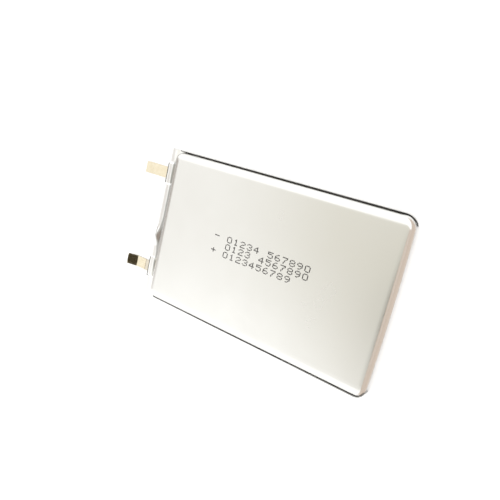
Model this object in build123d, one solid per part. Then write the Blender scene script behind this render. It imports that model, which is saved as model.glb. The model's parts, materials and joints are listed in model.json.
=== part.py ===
"""Wound lithium-polymer pouch cell: aluminium-laminate pouch, jelly roll, sealed terrace and two foil tabs.

Millimetres, +Z up.  The cell lies on its flat back face.  X runs along the cell, with the tabs at -X,
Y runs across it, and the origin is the centre of the back face of the body (the tabs not counted).
"""

from build123d import *

import os
from math import cos, radians, sin

# ---------------------------------------------------------------- body
BODY_LENGTH = 90.0  # edge of the top seal to the closed end, tabs not counted
BODY_WIDTH = 54.0  # over the folded side seals
BODY_THICKNESS = 4.8
FILM = 0.113  # aluminium laminate: nylon, aluminium and polypropylene, bonded
CORNER_RADIUS = 4.0  # closed-end corners in plan, over the folded seals
SHOULDER_RADIUS = 2.8  # drawn edge round the top of the cup
TAB_END_CORNER_RADIUS = 3.0  # the cup's corners in plan, towards the terrace

# ---------------------------------------------------------------- seals
TERRACE_LENGTH = 5.0  # flat top-seal ledge, seal edge to the foot of the cup
TERRACE_INSET = 0.2  # the terrace stays this far inside the body width, each side
SIDE_SEAL_HEIGHT = 3.3  # how far the folded side seal stands up
SIDE_SEAL_LEAD_IN = 3.2  # length over which the fold climbs from the terrace to full height
FOLD_RADIUS = 0.35  # outside of the fold
FOLD_WRAP = 72.0  # degrees of each closed-end corner that the folded seal follows
FOLD_GLUE = 0.10  # glue line between folded seal and cup wall
FOLD_GLUE_FOOT = 0.55  # lowest edge of the glue line
FOLD_GLUE_SETBACK = 3.0  # the glue line stops this far short of the straight fold's ends

# ---------------------------------------------------------------- tabs
TAB_WIDTH = 4.0
TAB_THICKNESS = 0.10
TAB_SPACING = 35.2  # centre to centre
TAB_OFFSET = 0.4  # the pair sits this far towards the negative side
TAB_PROJECTION = 10.2  # tip past the seal edge, measured along the foil
ROOT_BEND_AT = 0.9  # root fold line past the seal edge
END_BEND_AT = 6.0  # second fold line past the seal edge
TAB_TIP_RADIUS = 0.35
HINGE_CLEARANCE = 0.02
POSITIVE_TIP_LIFT = 20.0  # degrees that the outer half of each tab is kinked up at rest
NEGATIVE_TIP_LIFT = 6.0
EXTENSION_START_AT = 2.0  # inner end of the nickel extension past the seal edge
STUB_END_GAP = 0.4  # the aluminium stub stops this far short of the second fold line
SEALANT_WIDTH = 7.2
SEALANT_LENGTH = 4.4
SEALANT_PROTRUSION = 0.4
SEALANT_SKIN = 0.08  # sealant above and below the tab
LEAD_ON_FOIL = 24.0  # welded length of each tab inside the roll
LEAD_BEND_RADIUS = 0.5
LEAD_DROP_GAP = 1.1  # the lead turns down this far in front of the roll

# ---------------------------------------------------------------- jelly roll
CATHODE = 0.120  # coated ribbon thicknesses
ANODE = 0.132
SEPARATOR = 0.017
LEAST_SLACK = 0.002  # play between neighbouring ribbons, before the last part turn is shared out
CORE_RADIUS = 0.15  # half of the flat core void
COVER_HALF_TURNS = 2  # extra bends that the inner separator makes round the outside
ROLL_SIDE_CLEARANCE = 0.736  # round side of the roll to the inside of the cup wall
ROLL_TAB_REACH = 0.4  # the roll's tab end reaches this far under the cup's shoulder
ROLL_END_CLEARANCE = 0.6  # the roll's far end stops this far short of the shoulder
ANODE_SETBACK = 0.7  # anode inside the separator's edge, each end
CATHODE_SETBACK = 1.5
SEPARATOR_OVERLAP = 1.5  # outer separator ahead of the anode's start
START_MARGIN = 2.0  # a ribbon starts this far from the tab that needs the room

# ---------------------------------------------------------------- tapes
TAPE = 0.05
BOND_TAPE = 0.06
TAB_TAPE = 0.04
TAB_TAPE_WIDTH = 6.4
END_TAPE_WIDTH = 36.0
END_TAPE_FLAP = 10.0
FINISH_TAPE_LENGTH = 55.0
FINISH_TAPE_WIDTH = 12.0
BOND_LENGTH = 45.0
BOND_WIDTH = 14.0

# ---------------------------------------------------------------- worked out
SEAL_EDGE = -BODY_LENGTH / 2
HALF_WIDTH = BODY_WIDTH / 2
FOLD_STACK = 2 * FILM + FOLD_GLUE
CUP_HALF_WIDTH = HALF_WIDTH - FOLD_STACK
CUP_FOOT = SEAL_EDGE + TERRACE_LENGTH
CUP_END = BODY_LENGTH / 2 - FOLD_STACK
END_BOW = BODY_LENGTH / 2 - CUP_END  # the middle of the closed end reaches the full length
CORNER_X = BODY_LENGTH / 2 - CORNER_RADIUS
CORNER_Y = HALF_WIDTH - CORNER_RADIUS
CUP_CORNER = CORNER_RADIUS - FOLD_STACK
TERRACE_HALF_WIDTH = HALF_WIDTH - TERRACE_INSET
FOLD_START = CUP_FOOT - 0.9
CEILING = BODY_THICKNESS - FILM

# the roll has as many whole turns as fit the cup's depth, and the rest is play between them
ROLL_BOTTOM = FILM + TAPE
ROLL_TOP = CEILING - BOND_TAPE
ROLL_HALF = (ROLL_TOP - ROLL_BOTTOM) / 2
ROLL_MID = ROLL_BOTTOM + ROLL_HALF
WINDING_ROOM = ROLL_HALF - CORE_RADIUS - SEPARATOR
LAYERS = CATHODE + ANODE + 2 * SEPARATOR
TURNS = int(WINDING_ROOM / (LAYERS + 4 * LEAST_SLACK))
HALF_TURNS = 2 * TURNS - 1
PITCH = WINDING_ROOM / TURNS
WRAP_SLACK = (PITCH - LAYERS) / 4
ROLL_BEND_Y = CUP_HALF_WIDTH - FILM - ROLL_SIDE_CLEARANCE - ROLL_HALF
ROLL_TAB_END = CUP_FOOT + SHOULDER_RADIUS - ROLL_TAB_REACH
ROLL_FAR_END = CUP_END - SHOULDER_RADIUS - ROLL_END_CLEARANCE

SEALANT_HEIGHT = TAB_THICKNESS + 2 * SEALANT_SKIN
TAB_MID = FILM + SEALANT_HEIGHT / 2
ROOT_X = SEAL_EDGE - ROOT_BEND_AT
END_X = SEAL_EDGE - END_BEND_AT
TIP_X = SEAL_EDGE - TAB_PROJECTION
HINGE_GAP = TAB_THICKNESS / 2 + HINGE_CLEARANCE
EXTENSION_MID = TAB_MID + TAB_THICKNESS
TABS = {"negative": TAB_OFFSET + TAB_SPACING / 2, "positive": TAB_OFFSET - TAB_SPACING / 2}

# offsets of each ribbon from the spiral's base line, from the core outwards
SEP_IN_AT = 0.0
ANODE_AT = SEP_IN_AT + SEPARATOR + WRAP_SLACK
SEP_OUT_AT = ANODE_AT + ANODE + WRAP_SLACK
CATHODE_AT = SEP_OUT_AT + SEPARATOR + WRAP_SLACK
FIRST_RUN = ROLL_MID - CORE_RADIUS  # base line of the innermost bottom run


def block(x0, x1, y0, y1, z0, z1):
    """A box between two corners."""
    return Pos((x0 + x1) / 2, (y0 + y1) / 2, (z0 + z1) / 2) * Box(x1 - x0, y1 - y0, z1 - z0)


def bowed_plan(start, inset):
    """The pouch's outline from a straight edge at X = start to its closed end, which bows outwards."""
    end, half = CUP_END - inset, CUP_HALF_WIDTH - inset
    outline = [
        Line((start, -half), (end, -half)),
        ThreePointArc((end, -half), (end + END_BOW, 0), (end, half)),
        Line((end, half), (start, half)),
        Line((start, half), (start, -half)),
    ]
    plan = make_face(outline)
    far = plan.vertices().sort_by(Axis.X)[-2:]
    return fillet(far, CUP_CORNER - inset)


def cup_volume(inset):
    """The cup's outer volume, or with an inset of one film thickness, its cavity."""
    plan = bowed_plan(CUP_FOOT + inset, inset)
    foot_corners = plan.vertices().sort_by(Axis.X)[:2]
    plan = fillet(foot_corners, TAB_END_CORNER_RADIUS - inset)
    body = extrude(Pos(0, 0, FILM) * plan, CEILING - inset)
    rim = body.faces().sort_by(Axis.Z)[-1].edges()
    return fillet(rim, SHOULDER_RADIUS - inset)


def fold_section(outer, thickness):
    """One film layer of the folded side seal: along the floor, round the fold and up.

    The section is drawn in X (outwards from the corner centre) and Y (up)."""
    inner = outer - thickness
    layer = CORNER_RADIUS - outer
    bend = FOLD_RADIUS - layer
    centre = CORNER_RADIUS - FOLD_RADIUS
    floor = layer
    top = SIDE_SEAL_HEIGHT
    turn = radians(45)
    out_mid = (centre + bend * sin(turn), FOLD_RADIUS - bend * cos(turn))
    in_bend = bend - thickness
    in_mid = (centre + in_bend * sin(turn), FOLD_RADIUS - in_bend * cos(turn))
    start = CUP_CORNER - FILM
    outline = [
        Line((start, floor), (centre, floor)),
        ThreePointArc((centre, floor), out_mid, (outer, FOLD_RADIUS)),
        Line((outer, FOLD_RADIUS), (outer, top)),
        Line((outer, top), (inner, top)),
        Line((inner, top), (inner, FOLD_RADIUS)),
        ThreePointArc((inner, FOLD_RADIUS), in_mid, (centre, floor + thickness)),
        Line((centre, floor + thickness), (start, floor + thickness)),
        Line((start, floor + thickness), (start, floor)),
    ]
    return make_face(outline)


def folded_margin(outer, thickness):
    """A film layer's folded side margins, both sides, round the closed-end corners."""
    section = fold_section(outer, thickness)
    run = CORNER_X - FOLD_START
    side = Plane(origin=(FOLD_START, CORNER_Y, 0), x_dir=(0, 1, 0), z_dir=(1, 0, 0))
    straight = extrude(side * section, run)
    corner_plane = Plane(origin=(CORNER_X, CORNER_Y, 0), x_dir=(0, 1, 0), z_dir=(1, 0, 0))
    axis = Axis((CORNER_X, CORNER_Y, 0), (0, 0, 1))
    corner = revolve(corner_plane * section, axis, -FOLD_WRAP)
    margin = straight + corner
    ramp_x = FOLD_START + SIDE_SEAL_LEAD_IN
    ramp = Polygon(
        (FOLD_START - 1, 2 * FILM),
        (FOLD_START, 2 * FILM),
        (ramp_x, SIDE_SEAL_HEIGHT),
        (ramp_x, SIDE_SEAL_HEIGHT + 1),
        (FOLD_START - 1, SIDE_SEAL_HEIGHT + 1),
        align=None,
    )
    ramp_plane = Plane(origin=(0, HALF_WIDTH + 1, 0), x_dir=(1, 0, 0), z_dir=(0, -1, 0))
    margin -= extrude(ramp_plane * ramp, 1 + CORNER_RADIUS)
    return margin + mirror(margin, Plane.XZ)


def pouch_back():
    """The flat half of the pouch, with the outer layer of both folded side seals."""
    sheet = extrude(bowed_plan(FOLD_START, 0), FILM)
    sheet += block(SEAL_EDGE, FOLD_START, -TERRACE_HALF_WIDTH, TERRACE_HALF_WIDTH, 0, FILM)
    return sheet + folded_margin(CORNER_RADIUS, FILM)


def tab_pocket(y, grow, top):
    """The raised channel over one tab's sealant, grown sideways and up for its outside."""
    half = SEALANT_WIDTH / 2 + grow
    return block(SEAL_EDGE, CUP_FOOT + FILM, y - half, y + half, FILM, top)


def pouch_cup():
    """The deep-drawn half of the pouch, with the terrace flange and the inner layer of the folds."""
    cavity = cup_volume(FILM)
    cup = cup_volume(0) - cavity
    cup += block(SEAL_EDGE, FOLD_START, -TERRACE_HALF_WIDTH, TERRACE_HALF_WIDTH, FILM, 2 * FILM)
    ledge = block(FOLD_START, CUP_FOOT + CUP_CORNER, -CUP_HALF_WIDTH, CUP_HALF_WIDTH, FILM, 2 * FILM)
    cup += ledge - cavity
    cup += folded_margin(CORNER_RADIUS - FILM, FILM)
    for y in TABS.values():
        ridge = tab_pocket(y, FILM, 2 * FILM + SEALANT_HEIGHT)
        crests = ridge.edges().filter_by(Axis.X).sort_by(Axis.Z)[-2:]
        cup += fillet(crests, FILM)
    for y in TABS.values():
        cup -= tab_pocket(y, 0, FILM + SEALANT_HEIGHT)
    return cup


def fold_glue():
    """The glue lines that hold both folded side seals against the cup."""
    x0, x1 = FOLD_START + SIDE_SEAL_LEAD_IN + FOLD_GLUE_SETBACK, CORNER_X - FOLD_GLUE_SETBACK
    top = BODY_THICKNESS - SHOULDER_RADIUS
    line = block(x0, x1, CUP_HALF_WIDTH, CUP_HALF_WIDTH + FOLD_GLUE, FOLD_GLUE_FOOT, top)
    return [line, mirror(line, Plane.XZ)]


def spiral(offset, start_y, half_turns, end_y):
    """One edge of a wound ribbon: straight runs joined by half circles that grow by half a pitch."""
    bends = ROLL_BEND_Y
    edges, here = [], (start_y, FIRST_RUN - offset)
    for turn in range(half_turns):
        radius = CORE_RADIUS + turn * PITCH / 2 + offset
        right = turn % 2 == 0
        y = bends if right else -bends
        centre = ROLL_MID if right else ROLL_MID - PITCH / 2
        way = 1 if right else -1
        first, last = (y, centre - way * radius), (y, centre + way * radius)
        edges.append(Line(here, first))
        edges.append(ThreePointArc(first, (y + way * radius, centre), last))
        here = last
    edges.append(Line(here, (end_y, here[1])))
    return edges, edges[0] @ 0, edges[-1] @ 1


def ribbon(offset, thickness, start_y, half_turns, end_y, setback):
    """A wound ribbon, its strip edges set back from the separators' edges."""
    inner, inner_start, inner_end = spiral(offset, start_y, half_turns, end_y)
    outer, outer_start, outer_end = spiral(offset + thickness, start_y, half_turns, end_y)
    ends = [Line(inner_start, outer_start), Line(inner_end, outer_end)]
    section = make_face(inner + outer + ends)
    x0, x1 = ROLL_TAB_END + setback, ROLL_FAR_END - setback
    plane = Plane(origin=(x0, 0, 0), x_dir=(0, 1, 0), z_dir=(1, 0, 0))
    return extrude(plane * section, x1 - x0)


def jelly_roll():
    """Both electrodes and both separators.

    On the innermost run the cathode starts first, to take the positive tab on its bare face.  The
    outer separator and the anode start past that tab, and the inner separator past the negative
    tab, which lies on the anode in the core."""
    half_tape = TAB_TAPE_WIDTH / 2
    cathode_start = TABS["positive"] - half_tape - START_MARGIN
    anode_start = TABS["positive"] + half_tape + START_MARGIN
    separator_start = TABS["negative"] + half_tape + START_MARGIN / 2
    tail = -ROLL_BEND_Y + START_MARGIN
    return {
        "cathode_ribbon": ribbon(
            CATHODE_AT, CATHODE, cathode_start, HALF_TURNS, tail + 2 * START_MARGIN, CATHODE_SETBACK
        ),
        "anode_ribbon": ribbon(
            ANODE_AT, ANODE, anode_start, HALF_TURNS, tail + START_MARGIN, ANODE_SETBACK
        ),
        "separator_outer": ribbon(
            SEP_OUT_AT, SEPARATOR, anode_start - SEPARATOR_OVERLAP, HALF_TURNS, tail, 0
        ),
        "separator_inner": ribbon(
            SEP_IN_AT, SEPARATOR, separator_start, HALF_TURNS + COVER_HALF_TURNS, 0, 0
        ),
    }


def foil_face(name):
    """Height of the bare electrode face that a tab is welded to."""
    return FIRST_RUN - (ANODE_AT if name == "negative" else CATHODE_AT)


def tab_lead(name):
    """The fixed part of a tab: welded on the foil, down in front of the roll, out through the seal."""
    y, roll_z = TABS[name], foil_face(name) + TAB_THICKNESS / 2
    drop_x = ROLL_TAB_END - LEAD_DROP_GAP
    inner_x = ROLL_TAB_END + CATHODE_SETBACK + LEAD_ON_FOIL
    route = FilletPolyline(
        (inner_x, y, roll_z),
        (drop_x, y, roll_z),
        (drop_x, y, TAB_MID),
        (ROOT_X + HINGE_GAP, y, TAB_MID),
        radius=LEAD_BEND_RADIUS,
    )
    section = Plane(origin=route @ 0, x_dir=(0, 1, 0), z_dir=route % 0) * Rectangle(TAB_WIDTH, TAB_THICKNESS)
    return sweep(section, path=route)


def tab_strip(x0, x1, y, z):
    """A flat length of tab foil, its mid-thickness at height z."""
    half_width, half_thickness = TAB_WIDTH / 2, TAB_THICKNESS / 2
    return block(x0, x1, y - half_width, y + half_width, z - half_thickness, z + half_thickness)


def hinged_strip(y, axis_x, end_x, z, tip_radius=0.0):
    """A flat strip from a fold line outwards, rounded on the fold line so that it can turn there."""
    strip = tab_strip(end_x, axis_x, y, z)
    if tip_radius:
        tips = strip.edges().filter_by(Axis.Z).sort_by(Axis.X)[:2]
        strip = fillet(tips, tip_radius)
    barrel = Pos(axis_x, y, z) * Rot(90, 0, 0) * Cylinder(TAB_THICKNESS / 2, TAB_WIDTH)
    return strip + barrel


def tab_tip(name, z):
    """The outer half of a tab, kinked up by its rest angle about the second fold line."""
    lift = POSITIVE_TIP_LIFT if name == "positive" else NEGATIVE_TIP_LIFT
    flat = hinged_strip(TABS[name], END_X, TIP_X, z, TAB_TIP_RADIUS)
    return flat.rotate(Axis((END_X, 0, z), (0, 1, 0)), lift)


def extension_strip():
    """The nickel strip lapped on the aluminium stub, up to the second fold line."""
    return tab_strip(END_X + HINGE_GAP, SEAL_EDGE - EXTENSION_START_AT, TABS["positive"], EXTENSION_MID)


def tab_sealant(name, upper):
    """One half of the sealant strip round a tab, with the channel for the tab in it."""
    y, half = TABS[name], SEALANT_WIDTH / 2
    x0 = SEAL_EDGE - SEALANT_PROTRUSION
    x1 = x0 + SEALANT_LENGTH
    z0, z1 = (TAB_MID, FILM + SEALANT_HEIGHT) if upper else (FILM, TAB_MID)
    return block(x0, x1, y - half, y + half, z0, z1) - tab_strip(x0, x1, y, TAB_MID)


def tab_tape(name):
    """The insulating tape over a tab where it is welded to its foil."""
    y, z = TABS[name], foil_face(name) + TAB_THICKNESS
    x0 = ROLL_TAB_END + CATHODE_SETBACK
    half = TAB_TAPE_WIDTH / 2
    return block(x0, x0 + LEAD_ON_FOIL + START_MARGIN / 2, y - half, y + half, z, z + TAB_TAPE)


def roll_end_tape():
    """The tape folded round the roll's closed end, top to bottom."""
    half, x1 = END_TAPE_WIDTH / 2, ROLL_FAR_END + TAPE
    x0 = ROLL_FAR_END - END_TAPE_FLAP
    outside = block(x0, x1, -half, half, ROLL_BOTTOM - TAPE, ROLL_TOP + TAPE)
    return outside - block(x0, ROLL_FAR_END, -half, half, ROLL_BOTTOM, ROLL_TOP)


def finish_tape():
    """The tape that holds the roll's last wrap shut."""
    x0 = ROLL_TAB_END + TERRACE_LENGTH
    half = FINISH_TAPE_WIDTH / 2
    return block(x0, x0 + FINISH_TAPE_LENGTH, -half, half, ROLL_TOP, ROLL_TOP + TAPE)


def roll_bond():
    """The double-sided tape that keeps the roll from shifting in the cup."""
    x0 = ROLL_TAB_END + TERRACE_LENGTH
    y0 = FINISH_TAPE_WIDTH / 2 + START_MARGIN
    return block(x0, x0 + BOND_LENGTH, -y0 - BOND_WIDTH, -y0, ROLL_TOP, CEILING)


def build():
    """Every sub-part, by node name."""
    nodes = {
        "pouch_cup": pouch_cup(),
        "pouch_back": pouch_back(),
        "side_fold_glue": Compound(children=fold_glue()),
        "winding_finish_tape": finish_tape(),
        "roll_end_tape": roll_end_tape(),
        "roll_bonding_tape": roll_bond(),
        "positive_tab_stub": hinged_strip(TABS["positive"], ROOT_X, END_X + STUB_END_GAP, TAB_MID),
        "positive_extension_strip": extension_strip(),
        "positive_tab_tip": tab_tip("positive", EXTENSION_MID),
        "negative_tab_middle": hinged_strip(TABS["negative"], ROOT_X, END_X + HINGE_GAP, TAB_MID),
        "negative_tab_tip": tab_tip("negative", TAB_MID),
    }
    nodes.update(jelly_roll())
    for name in TABS:
        nodes[f"{name}_tab_lead"] = tab_lead(name)
        nodes[f"{name}_tab_tape"] = tab_tape(name)
        nodes[f"{name}_sealant_upper"] = tab_sealant(name, True)
        nodes[f"{name}_sealant_lower"] = tab_sealant(name, False)
    return nodes


os.makedirs("parts", exist_ok=True)
for node, shape in build().items():
    export_step(shape, f"parts/{node}.step")
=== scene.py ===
import json
import math

import bmesh
import bpy
from mathutils import Matrix, Vector, noise


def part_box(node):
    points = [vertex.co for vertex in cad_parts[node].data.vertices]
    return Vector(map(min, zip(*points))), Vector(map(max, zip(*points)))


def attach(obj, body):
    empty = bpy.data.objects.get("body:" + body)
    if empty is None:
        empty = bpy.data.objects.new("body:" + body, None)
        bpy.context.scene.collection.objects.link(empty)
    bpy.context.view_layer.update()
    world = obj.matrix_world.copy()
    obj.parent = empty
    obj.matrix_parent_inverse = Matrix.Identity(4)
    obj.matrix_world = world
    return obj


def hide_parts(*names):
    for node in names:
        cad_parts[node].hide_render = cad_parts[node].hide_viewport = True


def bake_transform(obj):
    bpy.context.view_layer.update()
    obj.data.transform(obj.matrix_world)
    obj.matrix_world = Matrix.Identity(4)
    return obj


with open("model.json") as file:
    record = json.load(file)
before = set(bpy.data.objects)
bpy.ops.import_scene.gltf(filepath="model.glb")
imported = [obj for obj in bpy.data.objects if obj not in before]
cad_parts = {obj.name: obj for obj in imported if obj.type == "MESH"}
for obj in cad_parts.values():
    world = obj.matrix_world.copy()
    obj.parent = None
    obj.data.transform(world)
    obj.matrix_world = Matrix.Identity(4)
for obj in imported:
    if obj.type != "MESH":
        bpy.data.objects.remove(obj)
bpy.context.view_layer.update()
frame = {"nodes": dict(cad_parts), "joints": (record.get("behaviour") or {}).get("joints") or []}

MM = 0.001

# The tabs leave the -X end and the +X end is closed.  The near side is -Y, and the far side +Y.

# ---------------------------------------------------------------- sizes read from the frame
CUP_LOW, CUP_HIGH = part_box("pouch_cup")
BACK_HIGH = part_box("pouch_back")[1]
SEAL_EDGE = CUP_LOW.x
END = CUP_HIGH.x
HALF_WIDTH = BACK_HIGH.y
TOP = CUP_HIGH.z
FILM = CUP_LOW.z
FOLD_TOP = BACK_HIGH.z
JOINTS = {joint["name"]: joint for joint in frame["joints"]}

# ---------------------------------------------------------------- sizes not in the frame, as in the part
CORNER_RADIUS = 4.0 * MM
TAB_END_CORNER = 3.0 * MM
SHOULDER_HEIGHT = 2.6 * MM
TERRACE = 5.0 * MM
TERRACE_HALF = HALF_WIDTH - 0.2 * MM
FOLD_GLUE = 0.10 * MM
FOLD_RADIUS = 0.35 * MM
FOLD_WRAP = math.radians(72)
FOLD_LEAD_IN = 3.2 * MM
TAB_WIDTH = 4.0 * MM
TAB_THICKNESS = 0.10 * MM
SEALANT_WIDTH = 7.2 * MM

# ---------------------------------------------------------------- worked out
CUP_HALF = HALF_WIDTH - 2 * FILM - FOLD_GLUE
CUP_FOOT = SEAL_EDGE + TERRACE
CUP_END = END - 2 * FILM - FOLD_GLUE
END_BOW = END - CUP_END
CUP_CORNER = CORNER_RADIUS - 2 * FILM - FOLD_GLUE
CORNER_X = END - CORNER_RADIUS
CORNER_Y = HALF_WIDTH - CORNER_RADIUS
FLANGE_TOP = 2 * FILM
SHOULDER_START = TOP - SHOULDER_HEIGHT
FOLD_START = CUP_FOOT - 0.9 * MM
TAB_Y = {tab: JOINTS[tab + "_root_bend"]["pos_m"][1] for tab in ("positive", "negative")}

# ---------------------------------------------------------------- the look's own sizes
SHOULDER_REACH = 3.1 * MM  # how far the rounded shoulder runs in over the top
END_SHARE = 0.3  # the shoulder's reach at the closed end, as a share of its reach elsewhere
SHOULDER_POWER = 2.1  # 2 is a circle; more is flatter with a tighter edge
FOOT_RADIUS = 1.3 * MM  # rounding under the closed end
FLARE = 0.5 * MM  # the front wall's sweep out on to the terrace
BOW_REACH = 14 * MM  # the closed end's outward bow starts this far in
END_WALL = (0.25, 0.9)  # outward X over which the foot of a side wall turns into that of an end wall
LEAST_CORNER = 0.7 * MM  # no ring round the cup has a tighter corner
CORNER_STEPS = 12
LONG_STEPS = 110
SHORT_STEPS = 64
PROFILE_STEPS = 18
FOOT_STEPS = 8
FILL_STEPS = 22
NEAR_NARROWING = 0.55 * MM  # how much the near side draws in towards the tabs
NEAR_TIGHTER = 0.9 * MM  # how much smaller the closed end's near corner is
CROWN = 0.10 * MM  # how far the top falls away from its middle
RIPPLE = 0.018 * MM  # the top's unevenness
JOIN_GAP = 0.0005 * MM  # points closer than this become one
POUCH_SHARP = 50  # degrees: an edge of the pouch that turns further stays crisp
FOIL_SHARP = 40  # degrees, for foil and ink


# ================================================================ materials

def new_material(name, color, metallic, roughness):
    """A Principled material with its plain values set on the shader's own sockets."""
    material = bpy.data.materials.new(name)
    material.use_nodes = True
    shader = material.node_tree.nodes["Principled BSDF"]
    shader.inputs["Base Color"].default_value = (*color, 1)
    shader.inputs["Metallic"].default_value = metallic
    shader.inputs["Roughness"].default_value = roughness
    return material, material.node_tree, shader


def coordinates(tree, scale=(1, 1, 1)):
    """Object coordinates, in metres, stretched by a scale."""
    source = tree.nodes.new("ShaderNodeTexCoord")
    mapping = tree.nodes.new("ShaderNodeMapping")
    mapping.inputs["Scale"].default_value = scale
    tree.links.new(source.outputs["Object"], mapping.inputs["Vector"])
    return mapping.outputs["Vector"]


def noise_texture(tree, vector, scale, detail, roughness=0.5):
    texture = tree.nodes.new("ShaderNodeTexNoise")
    texture.inputs["Scale"].default_value = scale
    texture.inputs["Detail"].default_value = detail
    texture.inputs["Roughness"].default_value = roughness
    tree.links.new(vector, texture.inputs["Vector"])
    return texture.outputs["Fac"]


def span(tree, value, low, high):
    """A value between 0 and 1, remapped to a range."""
    node = tree.nodes.new("ShaderNodeMapRange")
    node.inputs["To Min"].default_value = low
    node.inputs["To Max"].default_value = high
    tree.links.new(value, node.inputs["Value"])
    return node.outputs["Result"]


def blended_color(tree, factor, first, second):
    node = tree.nodes.new("ShaderNodeMix")
    node.data_type = "RGBA"
    node.inputs["A"].default_value = (*first, 1)
    node.inputs["B"].default_value = (*second, 1)
    tree.links.new(factor, node.inputs["Factor"])
    return node.outputs["Result"]


def bump(tree, shader, height, strength, distance, under=None):
    node = tree.nodes.new("ShaderNodeBump")
    node.inputs["Strength"].default_value = strength
    node.inputs["Distance"].default_value = distance
    tree.links.new(height, node.inputs["Height"])
    if under is not None:
        tree.links.new(under, node.inputs["Normal"])
    tree.links.new(node.outputs["Normal"], shader.inputs["Normal"])
    return node.outputs["Normal"]


def laminate(name, color, tint, roughness):
    """Nylon-faced aluminium laminate: satin, faintly cloudy, with a fine skin and rolling lines."""
    material, tree, shader = new_material(name, color, 1.0, roughness)
    clouds = noise_texture(tree, coordinates(tree), 60, 4, 0.6)
    tree.links.new(blended_color(tree, clouds, color, tint), shader.inputs["Base Color"])
    tree.links.new(span(tree, clouds, roughness - 0.07, roughness + 0.08), shader.inputs["Roughness"])
    skin = noise_texture(tree, coordinates(tree), 2600, 2)
    fine = bump(tree, shader, skin, 0.10, 0.02 * MM)
    rolling = noise_texture(tree, coordinates(tree, (0.08, 1, 1)), 900, 2)
    bump(tree, shader, rolling, 0.12, 0.02 * MM, under=fine)
    return material


def painted(tree, name):
    """A share stored at the piece's points by paint()."""
    node = tree.nodes.new("ShaderNodeAttribute")
    node.attribute_name = name
    return node.outputs["Fac"]


def seal_laminate(name, color, tint, groove, warm_groove_shade):
    """The same laminate where it was heat-sealed: fine press marks, and painted shade in the groove by
    the cup, dark grey and warmer beside the buckle.
    """
    material, tree, shader = new_material(name, color, 1.0, 0.30)
    clouds = noise_texture(tree, coordinates(tree), 160, 4, 0.6)
    plain = blended_color(tree, clouds, color, tint)
    # painted shade in the groove: dark grey, and warmer beside the buckle
    groove_shade_color = blended_color(tree, painted(tree, "groove_warmth"), groove, warm_groove_shade)
    both = tree.nodes.new("ShaderNodeMix")
    both.data_type = "RGBA"
    tree.links.new(painted(tree, "groove"), both.inputs["Factor"])
    tree.links.new(plain, both.inputs["A"])
    tree.links.new(groove_shade_color, both.inputs["B"])
    tree.links.new(both.outputs["Result"], shader.inputs["Base Color"])
    press = tree.nodes.new("ShaderNodeTexWave")
    press.bands_direction = "X"
    press.inputs["Scale"].default_value = 260
    press.inputs["Distortion"].default_value = 1.5
    tree.links.new(coordinates(tree), press.inputs["Vector"])
    fine = bump(tree, shader, press.outputs["Fac"], 0.08, 0.01 * MM)
    skin = noise_texture(tree, coordinates(tree), 1500, 3)
    bump(tree, shader, skin, 0.20, 0.02 * MM, under=fine)
    return material


def cut_edge(name):
    """The cut through the laminate: adhesive and polymer with a thread of aluminium, near black, partly
    their own dark colour and partly painted shade of the gap beside each fold.
    """
    material, tree, shader = new_material(name, (0.03, 0.028, 0.025), 0.2, 0.55)
    streaks = noise_texture(tree, coordinates(tree, (0.3, 0.3, 1)), 1800, 2)
    streaked = blended_color(tree, streaks, (0.02, 0.02, 0.018), (0.06, 0.055, 0.05))
    tree.links.new(streaked, shader.inputs["Base Color"])
    return material


def foil(name, color, tint, roughness):
    """Rolled tab foil: bright, with fine lines along the strip and a slight golden cloud."""
    material, tree, shader = new_material(name, color, 1.0, roughness)
    clouds = noise_texture(tree, coordinates(tree), 700, 3)
    tree.links.new(blended_color(tree, clouds, color, tint), shader.inputs["Base Color"])
    lines = noise_texture(tree, coordinates(tree, (0.06, 1, 1)), 9000, 2)
    tree.links.new(span(tree, lines, roughness - 0.03, roughness + 0.06), shader.inputs["Roughness"])
    bump(tree, shader, lines, 0.08, 0.01 * MM)
    return material


def polymer(name, color, tint, roughness):
    """A matt or glossy polymer, faintly uneven."""
    material, tree, shader = new_material(name, color, 0.0, roughness)
    clouds = noise_texture(tree, coordinates(tree), 900, 3)
    tree.links.new(blended_color(tree, clouds, color, tint), shader.inputs["Base Color"])
    tree.links.new(span(tree, clouds, roughness - 0.05, roughness + 0.08), shader.inputs["Roughness"])
    bump(tree, shader, clouds, 0.1, 0.02 * MM)
    return material


def floor_material():
    material, _, shader = new_material("pale_floor", (0.93, 0.93, 0.925), 0.0, 0.9)
    shader.inputs["Specular IOR Level"].default_value = 0.1
    return material


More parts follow.
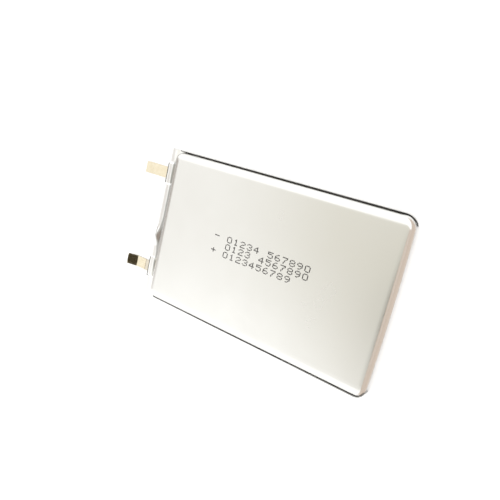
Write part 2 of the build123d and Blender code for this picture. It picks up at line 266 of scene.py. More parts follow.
FACE = laminate("laminate_face", (0.75, 0.745, 0.73), (0.71, 0.705, 0.685), 0.24)
BACK = laminate("laminate_back", (0.72, 0.715, 0.70), (0.69, 0.685, 0.67), 0.28)
# the last two colours are the groove's painted shade, plain and warmer
SEAL = seal_laminate("laminate_seal", (0.90, 0.90, 0.89), (0.87, 0.87, 0.86),
                     (0.37, 0.37, 0.36), (0.38, 0.375, 0.365))
# near black: partly the cut's own colour, partly painted shade of the gap beside each fold
EDGE = cut_edge("laminate_cut_edge")
NICKEL = foil("nickel_foil", (0.81, 0.75, 0.61), (0.72, 0.63, 0.46), 0.08)
ALUMINIUM = foil("aluminium_foil", (0.68, 0.63, 0.54), (0.60, 0.55, 0.46), 0.22)
SEALANT = polymer("tab_sealant_polymer", (0.035, 0.03, 0.025), (0.06, 0.05, 0.04), 0.45)
INK = polymer("marking_ink", (0.018, 0.016, 0.015), (0.04, 0.037, 0.035), 0.6)
CARRIED = {
    "side_fold_glue": polymer("clear_glue", (0.62, 0.60, 0.54), (0.55, 0.52, 0.46), 0.25),
    "cathode_ribbon": polymer("cathode_coating", (0.03, 0.03, 0.034), (0.05, 0.05, 0.055), 0.75),
    "anode_ribbon": polymer("anode_coating", (0.06, 0.06, 0.064), (0.085, 0.085, 0.09), 0.6),
    "separator_inner": polymer("separator_inner_film", (0.86, 0.86, 0.86), (0.80, 0.80, 0.80), 0.5),
    "separator_outer": polymer("separator_outer_film", (0.86, 0.86, 0.86), (0.80, 0.80, 0.80), 0.5),
    "winding_finish_tape": polymer("finish_tape", (0.05, 0.26, 0.12), (0.04, 0.21, 0.10), 0.25),
    "roll_end_tape": polymer("end_tape", (0.05, 0.26, 0.12), (0.04, 0.21, 0.10), 0.25),
    "roll_bonding_tape": polymer("bonding_tape", (0.78, 0.78, 0.80), (0.70, 0.70, 0.72), 0.4),
    "positive_tab_tape": polymer("positive_tape", (0.42, 0.19, 0.02), (0.36, 0.15, 0.02), 0.2),
    "negative_tab_tape": polymer("negative_tape", (0.42, 0.19, 0.02), (0.36, 0.15, 0.02), 0.2),
    "positive_tab_lead": ALUMINIUM,
    "negative_tab_lead": NICKEL,
    "positive_sealant_upper": SEALANT,
    "positive_sealant_lower": SEALANT,
    "negative_sealant_upper": SEALANT,
    "negative_sealant_lower": SEALANT,
}


def dress_cad_nodes():
    """The CAD nodes that stay get their materials."""
    for name, material in CARRIED.items():
        for slot in frame["nodes"][name].material_slots:
            slot.material = material


# ================================================================ mesh helpers

def make_piece(name, points, faces, materials, slots=None):
    """A smooth-shaded mesh piece.  slots gives each face's material number."""
    mesh = bpy.data.meshes.new(name)
    mesh.from_pydata([tuple(p) for p in points], [], faces)
    for material in materials:
        mesh.materials.append(material)
    if slots:
        mesh.polygons.foreach_set("material_index", slots)
    mesh.polygons.foreach_set("use_smooth", [True] * len(mesh.polygons))
    mesh.validate()
    piece = bpy.data.objects.new(name, mesh)
    bpy.context.scene.collection.objects.link(piece)
    return piece


def tidy_mesh(piece, sharp):
    """Joins points that lie together, turns faces outwards and marks edges past the sharp angle."""
    work = bmesh.new()
    work.from_mesh(piece.data)
    bmesh.ops.remove_doubles(work, verts=work.verts, dist=JOIN_GAP)
    bmesh.ops.recalc_face_normals(work, faces=work.faces)
    work.to_mesh(piece.data)
    work.free()
    if sharp:
        piece.data.set_sharp_from_angle(angle=math.radians(sharp))
    return piece


class Sheet:
    """Points and faces gathered from several surfaces into one piece."""

    def __init__(self):
        self.points = []
        self.faces = []
        self.slots = []

    def grid(self, rows, slot=0, closed=False):
        """A surface through equal rows of points.  closed joins each row's last point to its first."""
        first = len(self.points)
        width = len(rows[0])
        for row in rows:
            self.points.extend(row)
        across = width if closed else width - 1
        for i in range(len(rows) - 1):
            for j in range(across):
                a = first + i * width + j
                b = first + i * width + (j + 1) % width
                self.faces.append((a, b, b + width, a + width))
                self.slots.append(slot)

    def piece(self, name, materials, sharp=None):
        made = make_piece(name, self.points, self.faces, materials, self.slots)
        return tidy_mesh(made, sharp=sharp)


def paint(piece, name, share):
    """Stores a share between 0 and 1 at every point, for the piece's materials to read."""
    layer = piece.data.attributes.new(name, "FLOAT", "POINT")
    layer.data.foreach_set("value", [share(v.co.x, v.co.y) for v in piece.data.vertices])


def ease(x, low, high):
    """0 before low, 1 after high, smooth between."""
    t = min(1.0, max(0.0, (x - low) / (high - low)))
    return t * t * (3 - 2 * t)


def ripple(x, y, wave, seed=0.0):
    """Smooth unevenness between about -1 and 1, with bumps about one wave long."""
    return noise.noise(Vector((x / wave, y / wave, seed)))


# ================================================================ the drawn cup

def drawn_in(x, y):
    """A point's y, once the near side has drawn in towards the tabs."""
    share = max(0.0, CORNER_X - x) / (CORNER_X - SEAL_EDGE)
    return y + NEAR_NARROWING * share * max(0.0, -y) / HALF_WIDTH


def tighter(side):
    """How much smaller than the far corner the closed end's corner is on one side."""
    return NEAR_TIGHTER if side < 0 else 0.0


def outline(inset):
    """The cup's plan, inset from its wall, as (x, y, outward x, outward y), anticlockwise from above."""
    corners = [
        (CUP_END, -CUP_HALF, CUP_CORNER - NEAR_TIGHTER, -90),
        (CUP_END, CUP_HALF, CUP_CORNER, 0),
        (CUP_FOOT, CUP_HALF, TAB_END_CORNER, 90),
        (CUP_FOOT, -CUP_HALF, TAB_END_CORNER, 180),
    ]
    arcs = []
    for x, y, radius, start in corners:
        r = max(radius - inset, LEAST_CORNER)
        cx = x - math.copysign(inset * (END_SHARE if x > 0 else 1) + r, x)
        cy = y - math.copysign(inset + r, y)
        arc = []
        for i in range(CORNER_STEPS + 1):
            turn = math.radians(start + 90 * i / CORNER_STEPS)
            nx, ny = math.cos(turn), math.sin(turn)
            arc.append((cx + r * nx, cy + r * ny, nx, ny))
        arcs.append(arc)
    points = []
    for number, arc in enumerate(arcs):
        points.extend(arc)
        ahead = arcs[(number + 1) % 4][0]
        here = arc[-1]
        steps = SHORT_STEPS if number % 2 == 0 else LONG_STEPS
        for i in range(1, steps):
            t = i / steps
            x = here[0] + t * (ahead[0] - here[0])
            y = here[1] + t * (ahead[1] - here[1])
            points.append((x, y, here[2], here[3]))
    bowed = []
    for x, y, nx, ny in points:
        bow = END_BOW * max(0.0, 1 - (y / CUP_HALF) ** 2) * ease(x, CUP_END - BOW_REACH, CUP_END)
        bowed.append((x + bow, drawn_in(x, y), nx, ny))
    return bowed


def top_height(x, y):
    """Height of the crowned, slightly uneven top."""
    across = (y / CUP_HALF) ** 2
    along = ((x - CUP_FOOT) / (CUP_END - CUP_FOOT) * 2 - 1) ** 2
    swell = CROWN * (0.65 * across + 0.35 * along * along)
    long_wave = 0.5 * (1 + ripple(x, y, 16 * MM, 3.0)) * RIPPLE
    short_wave = 0.5 * (1 + ripple(x, y, 6 * MM, 9.0)) * RIPPLE * 0.35
    return TOP - swell - (long_wave + short_wave)


def foot_ring(share, ring):
    """One ring of the wall's foot: swept on to the terrace in front, rounded under at the closed end."""
    turn = share * math.pi / 2
    row = []
    for x, y, nx, ny in ring:
        front, end = ease(-nx, *END_WALL), ease(nx, *END_WALL)
        out = (1 - math.sin(turn)) * (front * FLARE - end * FOOT_RADIUS)
        low = FLANGE_TOP * (1 - end)
        height = front * FLARE + end * FOOT_RADIUS + (1 - front - end) * FOOT_RADIUS
        row.append((x + out * nx, y + out * ny, low + height * (1 - math.cos(turn))))
    return row


def cup_rings():
    """Rings of points from the cup's foot up its wall, over the shoulder and in to its middle line."""
    wall = outline(0)
    rows = [foot_ring(step / FOOT_STEPS, wall) for step in range(FOOT_STEPS + 1)]
    power = 2 / SHOULDER_POWER
    for step in range(PROFILE_STEPS + 1):
        turn = math.pi / 2 * step / PROFILE_STEPS
        inset = SHOULDER_REACH * (1 - math.cos(turn) ** power)
        rise = math.sin(turn) ** power
        row = []
        for x, y, _, _ in outline(inset):
            row.append((x, y, SHOULDER_START + rise * (top_height(x, y) - SHOULDER_START)))
        rows.append(row)
    inner = outline(SHOULDER_REACH)
    reach = CUP_HALF - SHOULDER_REACH
    low_x = CUP_FOOT + SHOULDER_REACH + reach
    high_x = CUP_END - SHOULDER_REACH - reach
    for step in range(1, FILL_STEPS + 1):
        t = step / FILL_STEPS
        row = []
        for x, y, _, _ in inner:
            middle = min(high_x, max(low_x, x))
            px, py = x + t * (middle - x), y * (1 - t)
            row.append((px, py, top_height(px, py)))
        rows.append(row)
    return rows


# ================================================================ the terrace

SEAL_BAND = 2.1 * MM  # the heat-sealed strip along the edge
BAND_LIFT = 0.26 * MM  # how far the film rides up over the tabs' sealant
BAND_RISE = 0.20 * MM  # how far the seal band's inner side rides above its cut edge
GROOVE_END = 3.8 * MM  # the groove runs from the seal band to this far in from the edge
GROOVE_BLUR = 0.12 * MM  # softness of the edges of the groove's painted shade
GROOVE_APPEARS = (-22 * MM, -15 * MM)  # along Y, where the groove's painted shade shows
GROOVE_FADES = (21.5 * MM, 23.5 * MM)
# along Y, where the groove's painted shade turns warmer
SHADE_WARMTH_APPEARS = (-14 * MM, -12 * MM)
SHADE_WARMTH_FADES = (-2 * MM, 2 * MM)
TERRACE_END = CUP_FOOT + 3.6 * MM  # the front film's own grid ends here, under the cup
TERRACE_NARROWS = 0.35 * MM  # by this much a side, where the folds begin
TERRACE_STATIONS = 46
TERRACE_ACROSS = 240
BUCKLE_Y = -5.0 * MM  # a buckle near the middle of the ledge
BUCKLE_HALF = 4.6 * MM
BUCKLE_HEIGHT = 0.95 * MM
BUCKLE_BELOW = 0.8  # the back film's share of the buckle
BUCKLE_PUSH = 0.9 * MM  # how far the buckle widens the groove's painted shade towards the cut edge


def near_tab(y):
    """1 over a tab's sealant, 0 away from it."""
    share = 0.0
    for tab_y in TAB_Y.values():
        off = abs(y - tab_y)
        share = max(share, 1 - ease(off, SEALANT_WIDTH / 2 - 0.1 * MM, SEALANT_WIDTH / 2 + 0.5 * MM))
    return share


def hump(y, middle, half):
    """1 at the middle, 0 at and past the half-width."""
    off = min(1.0, abs(y - middle) / half)
    return 0.5 + 0.5 * math.cos(math.pi * off)


def buckle(x, y):
    """0 to 1: the rise of the buckle, highest a little way in from the cut edge."""
    past = x - SEAL_EDGE
    along = 0.25 + 0.75 * ease(past, -0.2 * MM, 1.0 * MM)
    return hump(y, BUCKLE_Y, BUCKLE_HALF) ** 1.3 * along * (1 - ease(past, 1.0 * MM, 2.6 * MM))


def groove_share(x, y):
    """1 in the groove between the seal band and the cup, where its shade is painted, 0 outside it."""
    wide = hump(y, BUCKLE_Y, 8 * MM)
    start = SEAL_BAND - BUCKLE_PUSH * wide + 0.1 * MM * ripple(0, y, 4 * MM, 50.0)
    end = GROOVE_END + 0.5 * MM * hump(y, 2 * MM, 16 * MM) + 0.1 * MM * ripple(0, y, 5 * MM, 60.0)
    past = x - SEAL_EDGE
    begun = ease(past, start - GROOVE_BLUR, start + GROOVE_BLUR)
    return begun * (1 - ease(past, end - GROOVE_BLUR, end + 0.15 * MM))


def groove_warmth(_x, y):
    """1 beside the buckle, where the groove turns from the light and its painted shade is warmer, 0 away
    from it.
    """
    return ease(y, *SHADE_WARMTH_APPEARS) * (1 - ease(y, *SHADE_WARMTH_FADES))


def groove_shade_strength(x, y):
    """How strongly the groove's painted shade shows: it fades towards both ends, with a break at each
    sealant's edge.
    """
    share = groove_share(x, y) * ease(y, *GROOVE_APPEARS)
    share *= 1 - ease(y, *GROOVE_FADES)
    for tab_y in TAB_Y.values():
        inner = tab_y - math.copysign(SEALANT_WIDTH / 2, tab_y)
        share *= 1 - 0.7 * hump(y, inner, 0.5 * MM)
    return share


def terrace_height(x, y):
    """Top of the front film on the terrace."""
    past = x - SEAL_EDGE
    rise = ease(past, 0, SEAL_BAND) * (1 - ease(past, SEAL_BAND, GROOVE_END + 0.4 * MM))
    seal = 1 - ease(past, SEAL_BAND - 0.25 * MM, SEAL_BAND + 1.1 * MM)
    over_tab = BAND_LIFT * near_tab(y) * (0.6 + 0.4 * seal)
    crease = 0.05 * MM * ripple(x, y, 3.5 * MM, 21.0) * ease(past, 1.2 * MM, 2.6 * MM)
    wave = 0.02 * MM * ripple(0, y, 7 * MM, 4.0) * seal
    film = FLANGE_TOP + over_tab + BAND_RISE * rise + abs(crease) + wave + 0.02 * MM
    return film + BUCKLE_HEIGHT * buckle(x, y)


def gathered(x):
    """0 where the side seals lie flat beside the terrace, 1 where they stand folded."""
    return ease(x, FOLD_START - 0.4 * MM, FOLD_START + 0.2 * MM)


def terrace_rows(top):
    """Rows across the terrace film's top or underside, from the cut edge to under the cup."""
    rows = []
    for i in range(TERRACE_STATIONS + 1):
        x0 = SEAL_EDGE + (TERRACE_END - SEAL_EDGE) * i / TERRACE_STATIONS
        half = TERRACE_HALF - TERRACE_NARROWS * gathered(x0)
        edge = (1 - i / TERRACE_STATIONS) ** 4
        row = []
        for j in range(TERRACE_ACROSS + 1):
            y = half * (2 * j / TERRACE_ACROSS - 1)
            x = x0 + edge * 0.07 * MM * (1 + ripple(0, y, 5 * MM, 2.0))
            z = terrace_height(x0, y)
            row.append((x, drawn_in(x, y), z if top else z - FILM))
        rows.append(row)
    return rows


# ================================================================ the folded side seals

SHADE_BEAD_THICK = 0.27 * MM  # half the width of the dark bead of painted shade along the near fold, towards the tabs
SHADE_BEAD_THIN = 0.03 * MM  # and at the closed end
SHADE_BEAD_SIDES = 10
FOLD_STATIONS = 150  # along a fold's straight
CORNER_STATIONS = 22  # and round the closed end's corner
CURL_STEPS = 5
STANDING_STEPS = 12
FOLD_WAVER = 0.03 * MM
NEAR_DROP = 0.6 * MM  # how much lower the near fold stands at the tabs
FAR_DROP = 2.7 * MM  # how far the far fold sinks round the closed end's corner
FOLD_LEAN = 0.02 * MM
NEAR_LEAN = 0.22 * MM  # how much further in the near fold leans at the tabs


def fold_stations(side):
    """Stations along a folded seal: (x, y of the corner-centre line, outward x, outward y, distance)."""
    stations = []
    centre_x = CORNER_X + tighter(side)
    centre_y = side * (CORNER_Y + tighter(side))
    straight = centre_x - FOLD_START
    for i in range(FOLD_STATIONS):
        run = straight * i / FOLD_STATIONS
        x = FOLD_START + run
        shift = drawn_in(x, side * HALF_WIDTH) - side * HALF_WIDTH
        stations.append((x, centre_y + shift, 0.0, side * 1.0, run))
    for i in range(CORNER_STATIONS + 1):
        turn = FOLD_WRAP * i / CORNER_STATIONS
        run = straight + (CORNER_RADIUS - tighter(side)) * turn
        stations.append((centre_x, centre_y, math.sin(turn), side * math.cos(turn), run))
    return stations


def fold_profile(outer, height):
    """A film's section as (distance from the corner centre, height) along its outer face."""
    layer = CORNER_RADIUS - outer
    bend = FOLD_RADIUS - layer
    centre = CORNER_RADIUS - FOLD_RADIUS
    line = []
    for i in range(CURL_STEPS + 1):
        turn = math.pi / 2 * i / CURL_STEPS
        line.append((centre + bend * math.sin(turn), FOLD_RADIUS - bend * math.cos(turn)))
    for i in range(1, STANDING_STEPS + 1):
        line.append((outer, FOLD_RADIUS + (height - FOLD_RADIUS) * i / STANDING_STEPS))
    return [(r, min(z, height)) for r, z in line]


def fold_height(run, side):
    """The fold's height at a distance along it: it climbs, wavers, and sinks towards one end."""
    climb = ease(run, -0.4 * MM, FOLD_LEAD_IN)
    ends = CORNER_X - FOLD_START
    low = FLANGE_TOP + 0.1 * MM
    full = FOLD_TOP - FOLD_WAVER * (1 + ripple(run, 0, 9 * MM, 31.0 + side))
    if side < 0:
        full -= NEAR_DROP * (1 - ease(run, 0, ends))
    else:
        full -= FAR_DROP * ease(run, ends - 1.0 * MM, ends + CORNER_RADIUS * FOLD_WRAP)
    return low + climb * (full - low)


def fold_lean(run, z, side):
    """How far in the fold leans over the cup's shoulder at a distance along it and a height."""
    lean = FOLD_LEAN * (1 + ripple(run, 0, 8 * MM, 36.0 + side))
    if side < 0:
        lean += NEAR_LEAN * (1 - ease(run, 0, CORNER_X - FOLD_START))
    return lean * (max(0.0, z - SHOULDER_START) / (FOLD_TOP - SHOULDER_START)) ** 2


def add_fold(sheet, side, outer, body_slot, edge_slot):
    """One film's folded margin, with its cut edge."""
    outside, inside = [], []
    for x, y, nx, ny, run in fold_stations(side):
        height = fold_height(run, side)
        for rows, radius in ((outside, outer), (inside, outer - FILM)):
            row = []
            for r, z in fold_profile(radius, height):
                reach = r - tighter(side) - fold_lean(run, z, side)
                row.append((x + reach * nx, y + reach * ny, z))
            rows.append(row)
    sheet.grid(outside, body_slot)
    sheet.grid(inside, body_slot)
    sheet.grid([[o[-1], i[-1]] for o, i in zip(outside, inside)], edge_slot)
    for end in (0, -1):
        sheet.grid([outside[end], inside[end]], edge_slot)


def near_fold_adhesive():
    """A dark bead along the near fold's cut edge, thickest towards the tabs: painted shade of the gap
    between the fold and the cup.
    """
    stations = fold_stations(-1)
    length = stations[-1][-1]
    rows = []
    for x, y, nx, ny, run in stations:
        thinned = ease(run, 0.3 * length, 0.85 * length)
        size = SHADE_BEAD_THIN + (SHADE_BEAD_THICK - SHADE_BEAD_THIN) * (1 - thinned)
        size *= ease(run, 0, 1.5 * MM)
        height = fold_height(run, -1)
        middle = CORNER_RADIUS - tighter(-1) - FILM - fold_lean(run, height, -1)
        row = []
        for i in range(SHADE_BEAD_SIDES):
            turn = 2 * math.pi * i / SHADE_BEAD_SIDES
            reach = middle + size * math.cos(turn)
            row.append((x + reach * nx, y + reach * ny, height + 0.5 * size * math.sin(turn)))
        rows.append(row)
    sheet = Sheet()
    sheet.grid(rows, closed=True)
    return sheet.piece("near_fold_adhesive", [EDGE])


# ================================================================ pouch pieces

BACK_STATIONS = 150
BACK_ACROSS = 90
BACK_END = CUP_END - FOOT_RADIUS + 0.2 * MM  # the back film meets the cup's rounded foot here


def pouch_front():
    """Drawn cup, terrace film and the inner layer of both folds, as the front half of the pouch."""
    sheet = Sheet()
    sheet.grid(cup_rings(), 0, closed=True)
    top, under = terrace_rows(True), terrace_rows(False)
    sheet.grid(top, 1)
    sheet.grid(under, 1)
    sheet.grid([[a, b] for a, b in zip(top[0], under[0])], 2)
    for edge in (0, -1):
        sheet.grid([[a[edge], b[edge]] for a, b in zip(top, under)], 2)
    add_fold(sheet, 1, CORNER_RADIUS - FILM, 0, 2)
    add_fold(sheet, -1, CORNER_RADIUS - FILM, 0, 0)
    front = sheet.piece("pouch_front_skin", [FACE, SEAL, EDGE], POUCH_SHARP)
    # painted shade in the groove, and where it is warmer
    paint(front, "groove", groove_shade_strength)
    paint(front, "groove_warmth", groove_warmth)
    return front


def back_half(x, side):
    """How far the flat back reaches to one side: to the fold, or round the closed end's corner."""
    narrow = FOLD_RADIUS - (HALF_WIDTH - TERRACE_HALF)
    half = TERRACE_HALF - narrow * gathered(x)
    radius = CORNER_RADIUS - tighter(side)
    past = max(0.0, x - (END - radius))
    return min(half, HALF_WIDTH - radius + math.sqrt(max(0.0, (radius - FOLD_RADIUS) ** 2 - past ** 2)))


def back_rows(lift):
    """Rows across the flat back, a lift above the ground."""
    rows = []
    for i in range(BACK_STATIONS + 1):
        x = SEAL_EDGE + (BACK_END - SEAL_EDGE) * i / BACK_STATIONS
        low, high = -back_half(x, -1), back_half(x, 1)
        row = []
        for j in range(BACK_ACROSS + 1):
            y = low + (high - low) * j / BACK_ACROSS
            half = high if y > 0 else -low
            bow = END_BOW * ease(x, CUP_END - BOW_REACH, CUP_END) * max(0.0, 1 - (y / CUP_HALF) ** 2)
            cut = 0.05 * MM * (1 + ripple(0, y, 5 * MM, 6.0)) * (1 - ease(x, SEAL_EDGE, SEAL_EDGE + MM))
            give = 0.01 * MM * (1 + ripple(x, y, 14 * MM, 12.0)) * ease(half - abs(y), 0, 6 * MM)
            z = lift + give + BUCKLE_BELOW * BUCKLE_HEIGHT * buckle(x, y)
            row.append((x + bow + cut, drawn_in(x, y), z))
        rows.append(row)
    return rows


def pouch_back():
    """Flat back film and the outer layer of both folds."""
    sheet = Sheet()
    top, under = back_rows(FILM), back_rows(0.0)
    sheet.grid(top, 0)
    sheet.grid(under, 0)
    sheet.grid([[a, b] for a, b in zip(top[0], under[0])], 1)
    sheet.grid([[a, b] for a, b in zip(top[-1], under[-1])], 0)
    for edge in (0, -1):
        sheet.grid([[a[edge], b[edge]] for a, b in zip(top, under)], 0)
    for side in (-1, 1):
        add_fold(sheet, side, CORNER_RADIUS, 0, 1)
    return sheet.piece("pouch_back_skin", [BACK, EDGE], POUCH_SHARP)


# ================================================================ tabs

WELDS_ALONG = 3
WELDS_ACROSS = 4
WELD_PITCH = 0.75 * MM
WELD_DEPTH = 0.035 * MM
WELD_RADIUS = 0.25 * MM
WELD_INSET = 0.6  # the first row of welds from the strip's end, in pitches
BEND_REACH = 0.30 * MM  # a fold takes this much foil either side of its line
ROOT_OVERLAP = 0.20 * MM  # a strip starts this far back over its lead
COVER_THICKNESS = TAB_THICKNESS + 0.006 * MM  # so that a strip covers the end of its lead
TIP_SHORT = 0.02 * MM  # a strip ends this far inside the tip it replaces
TIP_RADIUS = 0.35 * MM
TIP_CROWN = 0.05 * MM  # how far the welded strip's tip bows up across its width
TIP_CROWNED = 3.6 * MM  # this length of it is fully crowned
TIP_FLAT = 4.4 * MM  # and past this length it is flat
FOIL_STEP = 0.1 * MM
FOIL_LEAST_STEPS = 24
FOIL_ACROSS = 28


def weld_dent(x, y, start):
    """Depth of the weld dimples where the extension is welded on."""
    depth = 0.0
    for i in range(WELDS_ALONG):
        for j in range(WELDS_ACROSS):
            cx = start - (WELD_INSET + i) * WELD_PITCH
            cy = (j - (WELDS_ACROSS - 1) / 2) * WELD_PITCH
            away = math.hypot(x - cx, y - cy) / WELD_RADIUS
            if away < 1:
                depth = max(depth, 0.5 + 0.5 * math.cos(math.pi * away))
    return depth * WELD_DEPTH


def foil_point(along, z0, fold_x, lift):
    """A point of a strip that is flat to fold_x and kinked up past it."""
    if fold_x is None or along > fold_x:
        return along, z0
    past = fold_x - along
    soft = min(past, BEND_REACH)
    turn = lift * soft / BEND_REACH
    x = fold_x - soft * math.cos(turn / 2) - (past - soft) * math.cos(lift)
    z = z0 + soft * math.sin(turn / 2) + (past - soft) * math.sin(lift)
    return x, z


def foil_strip(name, tab, start, length, z_mid, material, seed, fold_x=None, lift=0.0, round_tip=0.0,
               thickness=COVER_THICKNESS, welded=False, crown=0.0):
    """A strip of tab foil from start towards -X, kinked up by lift past fold_x."""
    y0 = TAB_Y[tab]
    stations = max(FOIL_LEAST_STEPS, int(length / FOIL_STEP))
    top, under = [], []
    for i in range(stations + 1):
        along = start - length * i / stations
        left = length * (1 - i / stations)
        half = TAB_WIDTH / 2
        if round_tip and left < round_tip:
            half -= round_tip - math.sqrt(max(0.0, round_tip ** 2 - (round_tip - left) ** 2))
        tip = 1 - ease(left, TIP_CROWNED, TIP_FLAT)
        x, z = foil_point(along, z_mid, fold_x, lift)
        row = []
        for j in range(FOIL_ACROSS + 1):
            v = 2 * j / FOIL_ACROSS - 1
            y = half * v
            sway = 0.012 * MM * ripple(along, y, 1.8 * MM, seed)
            sway += 0.010 * MM * ripple(along, 0, 0.9 * MM, seed + 3)
            dent = weld_dent(along, y, start) if welded else 0.0
            row.append((x, y0 + y, z + sway + crown * tip * (0.5 - v * v), dent))
        top.append([(x, y, z + thickness / 2 - dent) for x, y, z, dent in row])
        under.append([(x, y, z - thickness / 2 - 0.4 * dent) for x, y, z, dent in row])
    sheet = Sheet()
    sheet.grid(top)
    sheet.grid(under)
    for edge in (0, -1):
        sheet.grid([[a[edge], b[edge]] for a, b in zip(top, under)])
        sheet.grid([[a, b] for a, b in zip(top[edge], under[edge])])
    return sheet.piece(name, [material], FOIL_SHARP)


def bend_over(piece):
    """Bakes a strip's placement into its points."""
    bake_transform(piece)


def tip_slope(tip_box, end_x, z_mid, below):
    """How steeply a strip rises past its end fold to reach a tip's raised end, and how far it runs."""
    low, high = tip_box
    rise = high.z - below - z_mid
    run = end_x - low.x
    return math.atan2(rise, run), math.hypot(rise, run) - TIP_SHORT


def make_tabs():
    """Four strips of foil in place of the tab parts, two of them kinked up past the end fold line."""
    root_x, _, lead_z = JOINTS["positive_root_bend"]["pos_m"]
    end_x, _, over_z = JOINTS["positive_end_bend"]["pos_m"]
    start = root_x + ROOT_OVERLAP
    kink_x = end_x + BEND_REACH / 2

    stub_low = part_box("positive_tab_stub")[0]
    stub = foil_strip("positive_stub_foil", "positive", start, start - stub_low.x, lead_z,
                      ALUMINIUM, 1.0)
    bend_over(stub)
    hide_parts("positive_tab_stub")

    strip_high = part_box("positive_extension_strip")[1]
    lift, reach = tip_slope(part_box("positive_tab_tip"), end_x, over_z, TAB_THICKNESS)
    extension = foil_strip("positive_extension_foil", "positive", strip_high.x,
                           strip_high.x - end_x + reach, over_z, NICKEL, 2.0, kink_x, lift, TIP_RADIUS,
                           TAB_THICKNESS, welded=True, crown=TIP_CROWN)
    bend_over(extension)
    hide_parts("positive_extension_strip", "positive_tab_tip")

    middle_x = (root_x + end_x) / 2
    inner = foil_strip("negative_inner_foil", "negative", start, start - middle_x, lead_z,
                       NICKEL, 3.0)
    bend_over(inner)
    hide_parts("negative_tab_middle")

    lift, reach = tip_slope(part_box("negative_tab_tip"), end_x, lead_z, TAB_THICKNESS / 2)
    outer = foil_strip("negative_outer_foil", "negative", middle_x, middle_x - end_x + reach, lead_z,
                       NICKEL, 3.0, kink_x, lift, TIP_RADIUS)
    bend_over(outer)
    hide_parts("negative_tab_tip")


# ================================================================ printed marks

DOT_PITCH_X = 0.39 * MM
DOT_PITCH_Y = 0.29 * MM
DOT_RADIUS = 0.20 * MM
DOT_SIDES = 10
INK_THICKNESS = 0.004 * MM
INK_LIFT = 0.001 * MM  # the dots' undersides clear the face by this much
CHARACTER_PITCH = 2.62 * MM
CHARACTERS = {  # seven rows of dots from the top, five to a row
    "0": "01110 10001 10001 10001 10001 10001 01110",
    "1": "00100 01100 00100 00100 00100 00100 01110",
    "2": "01110 10001 00001 00110 01000 10000 11111",
    "3": "01110 10001 00001 00110 00001 10001 01110",
    "4": "00010 00110 01010 10010 11111 00010 00010",
    "5": "11111 10000 11110 00001 00001 10001 01110",
    "6": "00110 01000 10000 11110 10001 10001 01110",
    "7": "11111 00001 00010 00100 00100 01000 01000",
    "8": "01110 10001 10001 01110 10001 10001 01110",
    "9": "01110 10001 10001 01111 00001 00010 01100",
    "+": "00000 00100 00100 11111 00100 00100 00000",
    "-": "00000 00000 00000 11111 00000 00000 00000",
    " ": "00000 00000 00000 00000 00000 00000 00000",
}
MARKS = [  # text, its first character's centre from the seal edge, and the line's middle
    ("01234 567890", 35.1 * MM, 3.7 * MM),
    ("0123 4567890", 35.0 * MM, 1.2 * MM),
    ("0123456789", 34.7 * MM, -1.45 * MM),
    ("-", 30.0 * MM, 3.9 * MM),
    ("+", 29.7 * MM, -1.1 * MM),
]


def dot_centres(text, start, middle):
    """Centres of a text's dots, from its first character's centre and the line's middle."""
    left = start - 2 * DOT_PITCH_X
    for place, character in enumerate(text):
        for row, line in enumerate(CHARACTERS[character].split()):
            for column, dot in enumerate(line):
                if dot == "1":
                    x = left + place * CHARACTER_PITCH + column * DOT_PITCH_X
                    yield x, middle + (3 - row) * DOT_PITCH_Y


def printed_marks():
    """Low round dots of ink on the top, as plain digits and the two polarity signs."""
    points, faces = [], []
    sides = DOT_SIDES
    for text, start, middle in MARKS:
        for x, y in dot_centres(text, SEAL_EDGE + start, middle):
            radius = DOT_RADIUS * (1 + 0.12 * ripple(x, y, 0.5 * MM, 40.0))
            first = len(points)
            for level, share in ((0.0, 1.0), (INK_THICKNESS, 0.86)):
                for i in range(sides):
                    turn = 2 * math.pi * i / sides
                    px, py = x + share * radius * math.cos(turn), y + share * radius * math.sin(turn)
                    points.append((px, py, top_height(px, py) + INK_LIFT + level))
            for i in range(sides):
                j = (i + 1) % sides
                faces.append((first + i, first + j, first + sides + j, first + sides + i))
            faces.append(tuple(first + sides + i for i in range(sides)))
    marks = make_piece("printed_marks", points, faces, [INK])
    marks.data.set_sharp_from_angle(angle=math.radians(FOIL_SHARP))
    return marks


# ================================================================ the studio

PLAIN_LIGHT = (1.24, 1.23, 1.19)
WHITE_LIGHT = (1.50, 1.50, 1.48)
WARM_LIGHT = (0.83, 0.70, 0.60)
FLOOR_LIGHT = 1.45
BACKDROP_LIGHT = 1.05
FLOOR_HALF = 1.6
FLOOR_Z = -0.02 * MM
CARD_Z = -0.01 * MM
CARD_FAR_SIDE = 70 * MM
CARDS = [  # name, its two ends along X, its near side, its light
    ("warm_card", END + 0.3 * MM, END + 70 * MM, -70 * MM, WARM_LIGHT),
    ("dull_card", SEAL_EDGE - 90 * MM, SEAL_EDGE - 0.5 * MM, -22 * MM, (0.62, 0.61, 0.60)),
]
DARK_GAP = (-0.059, -0.269, 0.962)  # high up, on the near side
ZONES = [  # direction, where the zone begins and is full (as cosines), its light
    ((0, 0, -1), -0.70, -0.58, WHITE_LIGHT),  # low all round
    ((-0.97, -0.20, 0.13), 0.84, 0.89, (0.60, 0.55, 0.51)),  # low beyond the tabs
    ((0, -1, 0), 0.275, 0.35, WHITE_LIGHT),  # the near side
    ((0, 0, 1), 0.850, 0.900, (0.94, 0.915, 0.81)),  # overhead
    ((1, 0, 0), -0.04, 0.14, WARM_LIGHT),  # beyond the closed end
    ((0, 1, 0), 0.02, 0.25, WHITE_LIGHT),  # the far side
    (DARK_GAP, math.cos(math.radians(8.5)), math.cos(math.radians(6.0)), (0.06, 0.05, 0.03)),
]


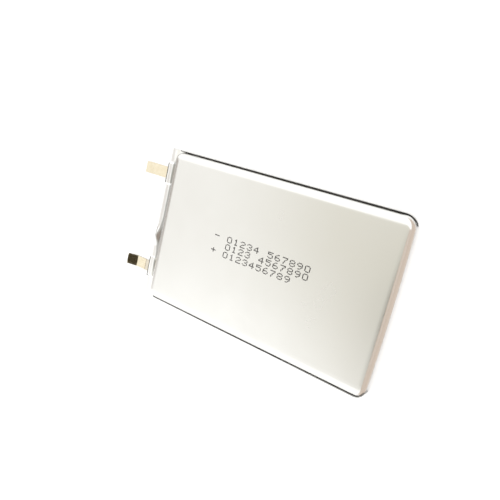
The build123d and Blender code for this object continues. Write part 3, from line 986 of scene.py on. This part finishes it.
def zone(tree, source, under, direction, begins, full, light):
    """Mixes a zone's light over what lies under it."""
    dot = tree.nodes.new("ShaderNodeVectorMath")
    dot.operation = "DOT_PRODUCT"
    dot.inputs[1].default_value = direction
    tree.links.new(source, dot.inputs[0])
    share = tree.nodes.new("ShaderNodeMapRange")
    share.interpolation_type = "SMOOTHSTEP"
    share.inputs["From Min"].default_value = begins
    share.inputs["From Max"].default_value = full
    tree.links.new(dot.outputs["Value"], share.inputs["Value"])
    mix = tree.nodes.new("ShaderNodeMix")
    mix.data_type = "RGBA"
    mix.inputs["A"].default_value = (*PLAIN_LIGHT, 1)
    mix.inputs["B"].default_value = (*light, 1)
    if under is not None:
        tree.links.new(under, mix.inputs["A"])
    tree.links.new(share.outputs["Result"], mix.inputs["Factor"])
    return mix.outputs["Result"]


def shared_light(tree, factor, first, second):
    node = tree.nodes.new("ShaderNodeMixShader")
    tree.links.new(factor, node.inputs["Fac"])
    tree.links.new(first, node.inputs[1])
    tree.links.new(second, node.inputs[2])
    return node.outputs["Shader"]


def even_light(tree, strength):
    node = tree.nodes.new("ShaderNodeBackground")
    node.inputs["Color"].default_value = (1, 1, 1, 1)
    node.inputs["Strength"].default_value = strength
    return node.outputs["Background"]


def soft_studio():
    """A white tent: brightest low down and along both sides, and warm beyond the closed end.

    It is duller overhead and low beyond the tabs, with one dark gap.  Reflections show the tent, the
    floor is lit evenly, and the camera sees plain white past the floor."""
    world = bpy.data.worlds.new("soft_studio")
    bpy.context.scene.world = world
    world.use_nodes = True
    tree = world.node_tree
    source = tree.nodes.new("ShaderNodeTexCoord").outputs["Generated"]
    light = None
    for direction, begins, full, color in ZONES:
        light = zone(tree, source, light, direction, begins, full, color)
    tent = tree.nodes["Background"]
    tree.links.new(light, tent.inputs["Color"])
    ray = tree.nodes.new("ShaderNodeLightPath")
    floor_light = even_light(tree, FLOOR_LIGHT)
    backdrop = even_light(tree, BACKDROP_LIGHT)
    mixed = shared_light(tree, ray.outputs["Is Diffuse Ray"], tent.outputs["Background"], floor_light)
    mixed = shared_light(tree, ray.outputs["Is Camera Ray"], mixed, backdrop)
    tree.links.new(mixed, tree.nodes["World Output"].inputs["Surface"])


def foil_card(name, start, end, low, color):
    """A card on the floor past one end of the cell, which shows only in reflections."""
    material = bpy.data.materials.new(name)
    material.use_nodes = True
    tree = material.node_tree
    glow = tree.nodes.new("ShaderNodeEmission")
    glow.inputs["Color"].default_value = (*color, 1)
    tree.links.new(glow.outputs["Emission"], tree.nodes["Material Output"].inputs["Surface"])
    high, z = CARD_FAR_SIDE, CARD_Z
    corners = [(start, low, z), (end, low, z), (end, high, z), (start, high, z)]
    card = make_piece(name, corners, [(0, 1, 2, 3)], [material])
    card.visible_camera = False
    card.visible_diffuse = False
    card.visible_shadow = False


def pale_floor():
    size, z = FLOOR_HALF, FLOOR_Z
    corners = [(-size, -size, z), (size, -size, z), (size, size, z), (-size, size, z)]
    floor = make_piece("pale_floor", corners, [(0, 1, 2, 3)], [floor_material()])


CAMERA_AT = Vector((78.43, 36.07, 139.36)) * MM
CAMERA_AIM = Vector((-4.50, 1.88, 0.0)) * MM
CAMERA_UP = Vector((-0.304, 0.9512, -0.0525))
CAMERA_LENS = 36.83
CAMERA_CLIP = 0.01


def add_camera():
    data = bpy.data.cameras.new("camera")
    data.lens = CAMERA_LENS
    data.clip_start = CAMERA_CLIP
    camera = bpy.data.objects.new("camera", data)
    back = (CAMERA_AT - CAMERA_AIM).normalized()
    right = CAMERA_UP.cross(back).normalized()
    up = back.cross(right)
    turn = Matrix((right, up, back)).transposed().to_4x4()
    camera.matrix_world = Matrix.Translation(CAMERA_AT) @ turn
    bpy.context.scene.collection.objects.link(camera)
    bpy.context.scene.camera = camera


# ================================================================ the scene

def main():
    dress_cad_nodes()
    front = pouch_front()
    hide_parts("pouch_cup")
    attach(front, "cell")
    back = pouch_back()
    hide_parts("pouch_back")
    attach(back, "cell")
    # a dark bead of painted shade along the near fold's cut edge
    shade_bead = near_fold_adhesive()
    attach(shade_bead, "cell")
    make_tabs()
    marks = printed_marks()
    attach(marks, "cell")
    pale_floor()
    for card in CARDS:
        foil_card(*card)
    soft_studio()
    add_camera()
    bpy.context.scene.view_settings.view_transform = "Standard"


main()
